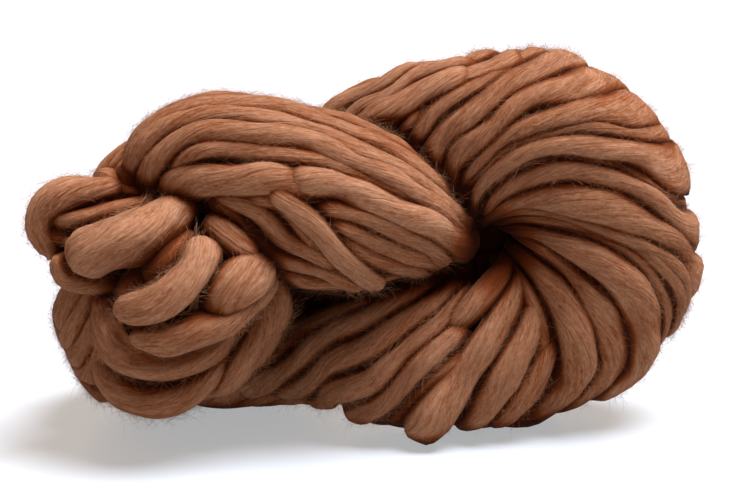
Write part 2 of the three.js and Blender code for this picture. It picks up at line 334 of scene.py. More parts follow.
def painted_shade_share(one, full):
    """The painted shade: 1 - view / open view, where view is the mean of exp(-wool met / thickness)
    over lines spread evenly round the skin's own outward direction. The eye is a narrow hole, so
    near it the painted shade is at least EYE_PAINTED_SHADE s^2 (3 - 2 s), with s falling from 1
    to 0 over its reach."""
    points, faced = one["points"], one["faced"]
    level = unit(np.cross(faced, SLANT))
    other = np.cross(faced, level)
    view = np.zeros(len(points))
    for look in range(LOOKS):
        rise = np.sqrt(1 - (look + 0.5) / LOOKS)
        flat = np.sqrt(1 - rise * rise)
        turn = LOOK_TURN * look
        way = faced * rise + level * flat * np.cos(turn) + other * flat * np.sin(turn)
        met = np.zeros(len(points))
        for place, length in zip(LOOK_PLACES, LOOK_LENGTHS):
            cells = ((points + way * place - CELLS_FROM) / CELL + 0.5).astype(int)
            cells = np.clip(cells, 0, np.array(full.shape) - 1)
            met += full[tuple(cells.T)] * length
        view += np.exp(-met / THICKNESS_TO_HIDE) / LOOKS
    painted_shade = np.clip(1 - view / OPEN_VIEW, 0, 1)
    grid = painted_shade[:-2].reshape(one["rows"], CELLS_AROUND)
    padded = np.pad(grid, ((1, 1), (0, 0)), mode="edge")
    grid = (padded[:-2] + 2 * padded[1:-1] + padded[2:]) / 4
    painted_shade = np.r_[grid.ravel(), painted_shade[-2:]]
    # Painted shade in the eye: wool near its middle is darkened.
    away = np.hypot(points[:, 0] - EYE[0], points[:, 2] - EYE[2])
    return np.maximum(painted_shade, EYE_PAINTED_SHADE * soft_step(1 - away / EYE_PAINTED_SHADE_REACH))


print("cells of wool:", ((CELLS_TO - CELLS_FROM) / CELL).astype(int).tolist())

# %% [markdown]
# ## From arrays to pieces
#
# All the strands of a bundle become one mesh. The wool also sinks a little under its own weight,
# and under the table's surface it is pressed flat.

# %% Meshes
SETTLES_FROM, SETTLES_TO = 114.0, 178.0  # the heights between which the sinking grows
SETTLES_BY = 5.0                         # mm at the top


def tube_faces(rows, around):
    """Quads between neighbouring rings of points, and at each end a fan of triangles to one of
    the two points that follow the rings."""
    grid = np.arange(rows * around).reshape(rows, around)
    after = np.roll(grid, -1, axis=1)
    quads = np.stack([grid[:-1], after[:-1], after[1:], grid[1:]], -1).reshape(-1, 4)
    first, last = (np.full(around, rows * around + end) for end in (0, 1))
    return quads, np.concatenate([np.stack([first, after[0], grid[0]], -1),
                                  np.stack([last, grid[-1], after[-1]], -1)])


def joined(parts):
    """Parts of points, quads and triangles as one such part."""
    starts = np.r_[0, np.cumsum([len(part[0]) for part in parts])]
    points = np.concatenate([part[0] for part in parts])
    quads, triangles = (np.concatenate([part[kind] + start for part, start in zip(parts, starts)])
                        for kind in (1, 2))
    return points, quads, triangles


def settled(points):
    """The wool's own weight: above the low height it sinks, by SETTLES_BY s^2 (3 - 2 s), where s
    is the share of the way from the low height to the high one."""
    s = (points[:, 2:] - SETTLES_FROM) / (SETTLES_TO - SETTLES_FROM)
    return points - np.array([[0.0, 0.0, SETTLES_BY]]) * soft_step(s)


def piece(name, points, quads, triangles, attributes=()):
    """A mesh object from whole arrays, moved from the table's millimetres to the model's metres."""
    mesh = bpy.data.meshes.new(name)
    mesh.vertices.add(len(points))
    placed = (settled(points) - MIDDLE) * MM
    mesh.vertices.foreach_set("co", placed.astype(np.float32).ravel())
    corners = np.concatenate([np.ravel(quads), np.ravel(triangles)]).astype(np.int32)
    sizes = np.r_[np.full(len(quads), 4), np.full(len(triangles), 3)]
    mesh.loops.add(len(corners))
    mesh.loops.foreach_set("vertex_index", corners)
    mesh.polygons.add(len(sizes))
    mesh.polygons.foreach_set("loop_start", np.r_[0, np.cumsum(sizes)[:-1]].astype(np.int32))
    mesh.update(calc_edges=True)
    for title, kind, values in attributes:
        layer = mesh.attributes.new(title, kind, "POINT")
        field = "vector" if kind == "FLOAT_VECTOR" else "value"
        layer.data.foreach_set(field, np.asarray(values, np.float32).ravel())
    mesh.polygons.foreach_set("use_smooth", np.ones(len(sizes), bool))
    mesh.validate()
    made = bpy.data.objects.new(name, mesh)
    bpy.context.scene.collection.objects.link(made)
    print(f"{name}: {len(quads) * 2 + len(triangles)} triangles")
    return made


def bundle_piece(name, strands, full):
    """Strands as one piece, with the three attributes that the wool's material reads: each
    point's place in the straight yarn, how buried it is, which sets its painted shade, and its
    strand's tone, which for lifted and sunk strands also holds painted light and shade."""
    for one in strands:
        one["painted_shade"] = painted_shade_share(one, full)
    points, quads, triangles = joined([(one["points"], *tube_faces(one["rows"], CELLS_AROUND))
                                       for one in strands])
    points[:, 2] = np.maximum(points[:, 2], TABLE_CLEARANCE)
    straight, painted_shade, tone_and_shade = (np.concatenate([one[title] for one in strands])
                              for title in ("straight", "painted_shade", "tone_and_shade"))
    return piece(name, points, quads, triangles,
                 [("straight", "FLOAT_VECTOR", straight * MM), ("painted_shade", "FLOAT", painted_shade),
                  ("tone_and_shade", "FLOAT", tone_and_shade)])


print("at its very top the wool sinks by", SETTLES_BY, "mm")

# %% [markdown]
# ## Laying a strand on a bundle
#
# A strand's way is given on its bundle's unrolled skin: a place along the bundle and an angle
# round it. It lies half under the skin, so that its crest is level with it, and it is lifted or
# sunk a little, because in a real hank some turns ride over their neighbours.

# %% Ways on the skin
FLAT = 0.95                              # a laid strand's thickness, as a share of its width
THICK_LIMITS = (0.6, 1.1)                # how far its thickness follows its width
FEWEST_POINTS = 8
DIVE = 6.0                               # mm that an end goes under its neighbours
DIVE_SHARE = 0.12                        # of the strand's length, at either end
SINKS = (0.5, 34)                        # how much it wanders up and down, over how many mm
SWAYS = (0.6, 40)                        # and sideways
TONES = 0.5                              # how much the strands differ in lightness
LIFT_A_PAINTED_LIGHT_STEP = 3.0                        # mm of lift that make a strand one step lighter: painted light on lifted strands, painted shade on sunk ones


def even_way(lay, places, angles, sink):
    """Places, angles and shares a step apart along a way on a skin."""
    points, _ = lay(places, angles, np.full(len(places), sink))
    far = travelled(points)
    at = np.linspace(0, far[-1], max(FEWEST_POINTS, int(far[-1] / STEP)))
    shares = np.linspace(0, 1, len(far))
    return (np.interp(at, far, column) for column in (places, angles, shares))


def lay_way(lay, places, angles, wide, lift=0.0, dive=(DIVE, DIVE), tips=(0.2, 0.2), tone_and_shade=None):
    """A strand's way on a skin, before its neighbours press on it. Its ends dive under the skin
    by dive s^2, with s growing from 0 to 1 over the last share, so they hide among the rest."""
    wide = np.broadcast_to(np.asarray(wide, float), places.shape)
    typical = float(np.median(wide))
    known = np.linspace(0, 1, len(places))
    places, angles, shares = even_way(lay, places, angles, FLAT * typical - lift)
    count = len(places)
    half = np.interp(shares, known, wide)
    thick = FLAT * np.clip(half, *(limit * typical for limit in THICK_LIMITS))
    share = np.linspace(0, 1, count)
    ends = (dive[0] * np.clip(1 - share / DIVE_SHARE, 0, 1) ** 2
            + dive[1] * np.clip((share - 1 + DIVE_SHARE) / DIVE_SHARE, 0, 1) ** 2)
    sink = thick - lift + ends + SINKS[0] * wander(count, STEP, SINKS[1])
    sway = SWAYS[0] * wander(count, STEP, SWAYS[1])
    points, out = lay(places, angles, sink)
    run = unit(np.gradient(points, axis=0))
    side = np.cross(run, out)
    tone_and_shade = chance.normal(0, TONES) if tone_and_shade is None else tone_and_shade
    return {"points": points + side * sway[:, None], "out": out, "run": run, "side": side,
            "half": half, "thick": thick, "tips": tips, "tone_and_shade": tone_and_shade}


def laid(way):
    """A way's strand at its own width."""
    return strand(way["points"], way["out"], way["half"], way["thick"], way["tips"], way["tone_and_shade"])


print("each end of a strand dives", DIVE, "mm under its neighbours")

# %% [markdown]
# Soft turns that lie side by side press on each other until no gap is left between them, so where
# one is plump its neighbour is pinched. That is worked out here once the ways are all known.

# %% Neighbours press on each other
BESIDE_ALONG = 1.2 * STEP                # a neighbour's point is beside one if it is this near
BESIDE_ABOVE = 7.0                       # along the yarn, this near in height,
BESIDE_ACROSS = 0.8                      # and at least this far to the side, in mm
NO_NEIGHBOUR = 99.0                      # mm of room where nothing lies beside
LEAST_ROOM, MOST_ROOM = 0.72, 1.15       # of a strand's own half width
ROOM_WINDOW = 17                         # points over which the room is evened out
PRESSED_WIDER = 1.1                      # a strand is this much wider than its room
PLUMPEST = 1.4                           # its thickness is at most this share of its width


def room_beside(across, near, share, half):
    """Half the room on one side: the share of the way to the nearest neighbour, held near the
    strand's own half width and evened out along it."""
    room = np.where(near & (across > BESIDE_ACROSS), across * share, NO_NEIGHBOUR).min(axis=1)
    room = np.clip(room, LEAST_ROOM * half, MOST_ROOM * half)
    window = np.hanning(ROOM_WINDOW + 2)[1:-1]
    padded = np.pad(room, ROOM_WINDOW // 2, mode="edge")
    return np.convolve(padded, window / window.sum(), mode="valid")


def pressed(ways):
    """On either side each way's strand takes its share of the room to its nearest neighbour, in
    proportion to their widths: its middle moves by half the difference of the two, and its half
    width is a little more than their mean."""
    everything = np.concatenate([way["points"] for way in ways])
    halves = np.concatenate([way["half"] for way in ways])[None]
    owner = np.repeat(np.arange(len(ways)), [len(way["points"]) for way in ways])
    made = []
    for number, way in enumerate(ways):
        away = everything[None] - way["points"][:, None]
        along, across, above = ((away * way[axis][:, None]).sum(2)
                                for axis in ("run", "side", "out"))
        near = ((np.abs(along) < BESIDE_ALONG) & (np.abs(above) < BESIDE_ABOVE)
                & (owner != number)[None])
        share = way["half"][:, None] / (way["half"][:, None] + halves)
        one_side, other_side = (room_beside(sign * across, near, share, way["half"])
                                for sign in (1, -1))
        half = PRESSED_WIDER * (one_side + other_side) / 2
        thick = np.minimum(way["thick"], PLUMPEST * half)
        middle = (way["points"] + way["side"] * ((one_side - other_side) / 2)[:, None]
                  + way["out"] * (way["thick"] - thick)[:, None])
        made.append(strand(middle, way["out"], half, thick, way["tips"], way["tone_and_shade"]))
    return made


print(f"pressed strands keep at least {LEAST_ROOM * PRESSED_WIDER:.0%} of their width")

# %% [markdown]
# ## The ring's turns
#
# Each turn climbs out of the eye, leans back as it crosses the front, goes square over the rim and
# down the back into the eye again. The table says where it lies, in degrees round the eye, when
# it is near the eye, inside the front, outside the front and near the rim. Near the eye there is
# less room, so the turns squeeze each other narrow.

# %% Ring turns
RING_FRONT = 60.0                        # the stations reach this far to either side of the front
RING_STATIONS = np.array([-RING_FRONT, -20.0, 20.0, RING_FRONT])
RING_TURNS = [  # degrees at the four stations, plumpness, lift
    ("under the arm", -80, -92, -108, -126, 9.0, 0.0),
    ("dark one at the foot", -66, -76, -92, -112, 8.5, -1.5),
    ("beside the foot", -48, -58, -71, -92, 9.5, 0.0),
    ("bright outer", -20, -36, -54, -74, 11.0, 2.0),
    ("long outer", 22, -15, -37, -57, 10.5, 0.0),
    ("big right", 42, 10, -15, -40, 14.0, 2.2),
    ("behind the big right", 52, 19, -4, -25, 8.0, -1.5),
    ("far right", 62, 25, 3, -16, 8.5, -0.5),
    ("across the middle", 92, 23, 2, -13, 9.5, 0.5),
    ("big across", 112, 41, 14, -3, 12.0, 1.8),
    ("above the middle", 118, 76, 31, 6, 10.0, 1.0),
    ("thin at the right", 126, 86, 40, 14, 6.0, -1.5),
    ("large upper right", 132, 96, 50, 24, 14.0, 2.0),
    ("thin upper right", 140, 106, 62, 36, 6.0, -0.5),
    ("upper", 150, 112, 72, 48, 10.0, 1.0),
    ("large top", 156, 127, 90, 63, 12.5, 1.5),
    ("highest", 172, 146, 107, 79, 12.5, 2.5),
    ("left of the highest", 184, 163, 124, 88, 9.5, 1.5),
    ("dark at the top left", 190, 170, 134, 99, 8.5, 0.5),
    ("bright at the top left", 200, 181, 146, 107, 9.0, 1.5),
]
RING_LIMIT = (-136.0, 166.0)             # the bends between which the ring has turns
RING_ANGLES = np.arange(-100.0, 276.0, 2.0)
EYE_SLOPES = (-2.0, -0.3)                # bend for each degree of angle, on the way into the eye
RIM_SLOPES = (-0.7, -0.2)                # and where the front ends
RIM_EASE = 30.0                          # degrees over which that lean fades out over the rim
RING_BACK_LAY = 0.5                      # how much a turn leans on the back of the ring
DEGREES_A_RADIAN = 57.3
RING_HALF_HEIGHT, RING_HALF_DEPTH = 43.0, 39.0
TOUCH = 1.14                             # how much wider a turn is than its room
RING_HALF_WIDTHS = (3.2, 13.0)           # the thinnest and the thickest it may get


def ring_way(stations):
    """Bend against angle: a cubic through the four stations at the front. Inside them it goes on
    with its slope there, and outside them by slope 30 (1 - exp(-(a - 60) / 30)). Down the back it
    leans by lay (a - 90 + cos a), the cosine in degrees too."""
    fit = np.polyfit(RING_STATIONS, stations, 3)
    slope = np.polyder(fit)
    bend = np.polyval(fit, np.clip(RING_ANGLES, -RING_FRONT, RING_FRONT))
    inside = np.clip(np.polyval(slope, -RING_FRONT), *EYE_SLOPES)
    outside = np.clip(np.polyval(slope, RING_FRONT), *RIM_SLOPES)
    bend += inside * np.minimum(RING_ANGLES + RING_FRONT, 0)
    over = np.clip(RING_ANGLES - RING_FRONT, 0, None)
    bend += outside * RIM_EASE * (1 - np.exp(-over / RIM_EASE))
    past = np.clip(RING_ANGLES, 90, None)
    back = past - 90 + DEGREES_A_RADIAN * np.cos(np.radians(past))
    return bend - RING_BACK_LAY * back


def share_room(centres, plump):
    """Neighbouring turns share the room between their centres in proportion to their plumpness.
    Gives each turn's new centre and the half of its room, at every angle."""
    share = (plump[:-1] / (plump[:-1] + plump[1:]))[:, None]
    edges = centres[:-1] + (centres[1:] - centres[:-1]) * share
    first = 2 * centres[:1] - edges[:1]
    last = 2 * centres[-1:] - edges[-1:]
    edges = np.concatenate([first, edges, last])
    return (edges[:-1] + edges[1:]) / 2, np.abs(edges[1:] - edges[:-1]) / 2


def ring_room(bends, angles, half):
    """Half a turn's width in mm, square to its run: degrees of room at its distance from the eye,
    times the cosine of its lean."""
    slope = np.gradient(bends, angles)
    points, _ = on_ring(bends, angles, np.zeros(len(bends)))
    away = np.hypot(points[:, 0] - EYE[0], points[:, 2] - EYE[2])
    around = np.hypot(RING_HALF_DEPTH * np.sin(np.radians(angles)),
                      RING_HALF_HEIGHT * np.cos(np.radians(angles)))
    return np.radians(half) * away * np.cos(np.arctan2(away * np.abs(slope), around))


centres, halves = share_room(np.array([ring_way(row[1:5]) for row in RING_TURNS]),
                             np.array([row[5] for row in RING_TURNS]))
ring_strands = []
# A turn's lift also sets its tone: painted light on lifted turns, painted shade on sunk ones.
for (*_, lift), bends, half in zip(RING_TURNS, centres, halves):
    keep = (bends > RING_LIMIT[0]) & (bends < RING_LIMIT[1])
    bends, angles = bends[keep], RING_ANGLES[keep]
    room = np.clip(TOUCH * ring_room(bends, angles, half[keep]), *RING_HALF_WIDTHS)
    ring_strands.append(laid(lay_way(on_ring, bends, angles, room, lift,
                                     tone_and_shade=lift / LIFT_A_PAINTED_LIGHT_STEP)))
tell("the ring's turns", ring_strands)

# %% A layer under them, made darker with painted shade, so that no furrow goes right through
UNDER_RIMS = np.arange(-130.0, 152.0, 15.0)
UNDER_LEAN = np.array([62.0, 40.0, 16.0, 0.0])
UNDER_HALF_WIDTH, UNDER_LIFT, UNDER_PAINTED_SHADE = 9.0, -4.5, -1.5
under_ring = []
for rim in UNDER_RIMS:
    bends = ring_way(rim + UNDER_LEAN)
    keep = (bends > RING_LIMIT[0]) & (bends < RING_LIMIT[1])
    under_ring.append(laid(lay_way(on_ring, bends[keep], RING_ANGLES[keep], UNDER_HALF_WIDTH,
                                   UNDER_LIFT, tone_and_shade=UNDER_PAINTED_SHADE)))
tell("under them", under_ring)

# %% [markdown]
# ## Turns at the top left of the ring
#
# Where the ring runs back into the arm behind, its turns lie flatter and come out one behind
# another from under the upper arm.

# %% Turns over the shoulder
SHOULDER_TURNS = [  # (ring degrees, section angle) along the way, half width, lift
    ("third", [(151, 30), (143, 40), (131, 48), (118, 52), (107, 58), (97, 66)], 7.5, 4.0),
    ("second", [(148, 42), (141, 50), (132, 58), (124, 61), (116, 66), (108, 76)], 6.6, 3.5),
    ("first", [(150, 66), (141, 76), (130, 76), (120, 76), (111, 84)], 6.8, 3.5),
    ("over the top", [(126, 58), (116, 65), (106, 68), (96, 74)], 6.0, 3.5),
    ("right of it", [(111, 55), (102, 62), (95, 65), (88, 68), (80, 76)], 6.0, 2.5),
    ("behind", [(160, 84), (147, 90), (134, 93), (121, 101), (109, 122), (99, 150)], 8.2, 1.0),
]
shoulder_ways = []
# A turn's lift also sets its tone: painted light on lifted turns, painted shade on sunk ones.
for _, route, wide, lift in SHOULDER_TURNS:
    places, angles = eased(route).T
    shoulder_ways.append(lay_way(on_ring, places, angles, wide, lift, tone_and_shade=lift / LIFT_A_PAINTED_LIGHT_STEP))
shoulder = pressed(shoulder_ways)
tell("over the shoulder", shoulder)

# %% [markdown]
# ## The arm behind
#
# The arm behind winds evenly all the way from the ring's top to the left end and up into the
# upper arm, so a rule places its turns: each crosses the front a little further along, and
# climbs round the arm at a steady lean.

# %% Turns of the arm behind
FEWEST_KEPT = 12                         # points of a way that are worth a strand
VARIES = {"lean": 0.05, "width": 0.06, "lift": 0.6}


def wound(bundle, crossings, lean, wide, lift=0.0, spread=(-200, 200)):
    """One strand for each crossing in mm: place = crossing - angle / lean, over the spread of
    angles. The lean is in degrees round the arm for each mm along it. Lean and half width vary by
    a share, and the lift by mm."""
    made = []
    length = bundle["places"][-1]
    for crossing in crossings:
        slope = lean * (1 + VARIES["lean"] * chance.normal())
        angles = np.arange(spread[0], spread[1], 2.0)
        places = crossing - angles / slope
        keep = (places > 0) & (places < length)
        if keep.sum() < FEWEST_KEPT:
            continue
        made.append(laid(lay_way(lay_on(bundle), places[keep], angles[keep],
                                 wide * (1 + VARIES["width"] * chance.normal()),
                                 lift + VARIES["lift"] * chance.normal())))
    return made


back_strands = wound(back_arm, np.arange(-60, 420, 17.0), lean=2.2, wide=8.3)
tell("the arm behind", back_strands)

# %% [markdown]
# ## The lower arm
#
# The lower arm leaves the bottom of the ring and runs left along the table. Its turns climb from
# the lower left to the upper right. A first layer is wound by rule all the way along and round
# it. On its front lie the turns that show, each by its own way.

# %% Turns of the lower arm
BLUNT = 0.5                              # a tip of this size or more shows, so it doesn't dive
LOWER_TURNS = [  # (place in mm, angle round it) along the way, half width, lift, tips
    ("behind the crevice", [(48, 74), (57, 62), (66, 54), (75, 51), (85, 43), (96, 32), (109, 18),
                            (120, 4), (131, -8)], 4.8, -1.0, (0.2, 0.2)),
    ("long upper", [(10, 106), (22, 95), (35, 80), (44, 66), (53, 55), (61, 43), (69, 35), (78, 28),
                    (90, 18), (104, 4), (115, -9), (126, -22)], 6.4, 1.5, (0.2, 0.2)),
    ("below the long one", [(6, 98), (16, 84), (27, 65), (35, 53), (42, 42), (48, 34), (54, 25),
                            (60, 15), (68, 4), (80, -5), (94, -16), (106, -29)],
     5.8, 0.0, (0.2, 0.2)),
    ("third", [(4, 92), (12, 75), (21, 57), (29, 46), (35, 36), (41, 26), (46, 16), (51, 5),
               (56, -7), (64, -21), (78, -35), (92, -48)], 6.0, 0.8, (0.2, 0.2)),
    ("inner top", [(2, 90), (6, 74), (12, 57), (19, 45), (26, 38), (33, 33)], 4.8, -2.5, (0.2, 0.5)),
    ("short bright one", [(25, 31), (30, 26), (36, 18), (41, 9), (45, -1), (49, -12), (54, -24),
                          (58, -37), (63, -52)], 6.2, 1.8, (0.35, 0.2)),
    ("in the furrow", [(15, 26), (21, 17), (28, 9), (34, 0), (39, -9), (43, -19), (47, -33),
                       (52, -50)], 5.0, -0.8, (0.2, 0.2)),
]


def ways_on(bundle, table):
    """A table's ways on an arm, the lifted ones painted lighter and the sunk ones painted darker."""
    ways = []
    for _, route, wide, lift, tips in table:
        places, angles = eased(route).T
        dive = [DIVE * (tip < BLUNT) for tip in tips]
        ways.append(lay_way(lay_on(bundle), places, angles, wide, lift, dive, tips,
                            lift / LIFT_A_PAINTED_LIGHT_STEP))
    return ways


lower_strands = pressed(ways_on(lower_arm, LOWER_TURNS))
under_lower = wound(lower_arm, np.arange(-60, 240, 13.0), lean=1.5, wide=7.0, lift=-6.0,
                    spread=(-230, 130))
tell("the lower arm's front", lower_strands)
tell("wound round it", under_lower)

# %% [markdown]
# ## The upper arm
#
# The upper arm comes down from the upper left and dives into the eye. Its turns lie almost along
# it, and short ones cross the others on its lower side. A long turn of it ends in a round fold
# halfway along, and another hangs over the crevice with a blunt tip.

# %% Turns of the upper arm
UPPER_TURNS = [  # (place in mm, angle round it) along the way, half width, lift, tips
    ("over the top", [(14, -52), (30, -66), (50, -78), (75, -82), (102, -74), (128, -66), (156, -60)],
     7.5, 0.0, (0.2, 0.2)),
    ("top ridge", [(6, -20), (16, -29), (34, -44), (53, -55), (75, -60), (102, -52), (128, -43),
                   (152, -38), (172, -44)], 8.6, 1.0, (0.2, 0.2)),
    ("second ridge", [(18, 6), (26, -5), (38, -24), (53, -36), (76, -46), (104, -42), (128, -36),
                      (150, -26), (168, -18)], 8.0, 1.5, (0.2, 0.2)),
    ("third ridge", [(32, 6), (40, -5), (54, -19), (70, -30), (89, -35), (110, -33), (132, -30),
                     (150, -20)], 6.6, -0.5, (0.2, 0.2)),
    ("light one", [(33, 17), (41, 12), (51, 9), (62, 2), (72, -8), (82, -13), (90, -16)],
     9.6, 2.0, (0.2, 0.2)),
    ("folded long one", [(79, -15), (87, -20), (98, -22), (112, -19), (125, -16), (138, -14),
                         (150, -6), (165, 4)], 9.6, 3.0, (0.75, 0.2)),
    ("under the fold", [(90, -4), (100, -8), (111, -7), (122, -2), (136, 5), (152, 16)],
     5.6, 0.0, (0.3, 0.2)),
    ("near the eye", [(98, 0), (107, 4), (116, 9), (127, 15), (138, 21), (152, 32)],
     5.6, -0.5, (0.3, 0.2)),
    ("below the fold", [(100, 8), (110, 17), (121, 25), (134, 33), (150, 46)], 5.6, -1.0,
     (0.3, 0.3)),
    ("beside the crossing", [(69, 9), (80, 4), (87, 7), (94, 14), (102, 26)], 5.2, 0.5, (0.3, 0.3)),
    ("left of the crossing", [(58, 21), (68, 17), (77, 16), (86, 21), (97, 22), (107, 32)],
     5.4, 0.5, (0.3, 0.3)),
    ("lowest left", [(56, 23), (64, 28), (72, 36), (83, 42), (93, 38), (102, 37), (111, 46),
                     (122, 62)], 5.6, 0.0, (0.3, 0.3)),
    ("in the crevice", [(78, 54), (91, 54), (99, 62), (108, 64), (120, 78)], 5.8, -3.0, (0.3, 0.3)),
    ("in the crevice, right", [(108, 46), (120, 52), (134, 58), (150, 64)], 5.8, -3.5, (0.3, 0.3)),
]
CROSSING_TURNS = [
    ("crossing one", [(74, -3), (82, -2), (90, 1), (97, 7), (104, 17), (113, 30), (122, 44)],
     5.0, 3.5, (0.3, 0.85)),
]
upper_strands = (pressed(ways_on(upper_arm, UPPER_TURNS))
                 + [laid(way) for way in ways_on(upper_arm, CROSSING_TURNS)])
tell("the upper arm's front", upper_strands)

# %% The turns round the rest of it
UPPER_STARTS = np.arange(-100.0, 260.0, 22.0)
UPPER_PLACES = np.linspace(4, 200, 120)
UPPER_HALF_WIDTH = 8.0
UPPER_LEAN = 0.32                        # degrees round the arm for each mm along it
UPPER_LEVEL_AT = 60                      # mm along, where a turn has its starting angle
UPPER_SWAY = (4, 1.6, 60)                # degrees, mm from point to point, mm from bend to bend
HIDDEN_BELOW, HIDDEN_LIFT = 95, -8.0     # degrees from the front where it lies under the others
under_upper = []
for start in UPPER_STARTS:
    size, step, length = UPPER_SWAY
    angles = (start + UPPER_LEAN * (UPPER_PLACES - UPPER_LEVEL_AT)
              + size * wander(len(UPPER_PLACES), step, length))
    lift = HIDDEN_LIFT if abs(start) < HIDDEN_BELOW else 0.0
    under_upper.append(laid(lay_way(lay_on(upper_arm), UPPER_PLACES, angles, UPPER_HALF_WIDTH,
                                    lift)))
tell("round the rest of it", under_upper)

# %% [markdown]
# ## The knot and the loose loops
#
# The last loops of the yarn are pulled through each other at the front left. Each is a strand on
# its own way through the air, given by a few points. A few turns in front of the ring are given
# in the same way.

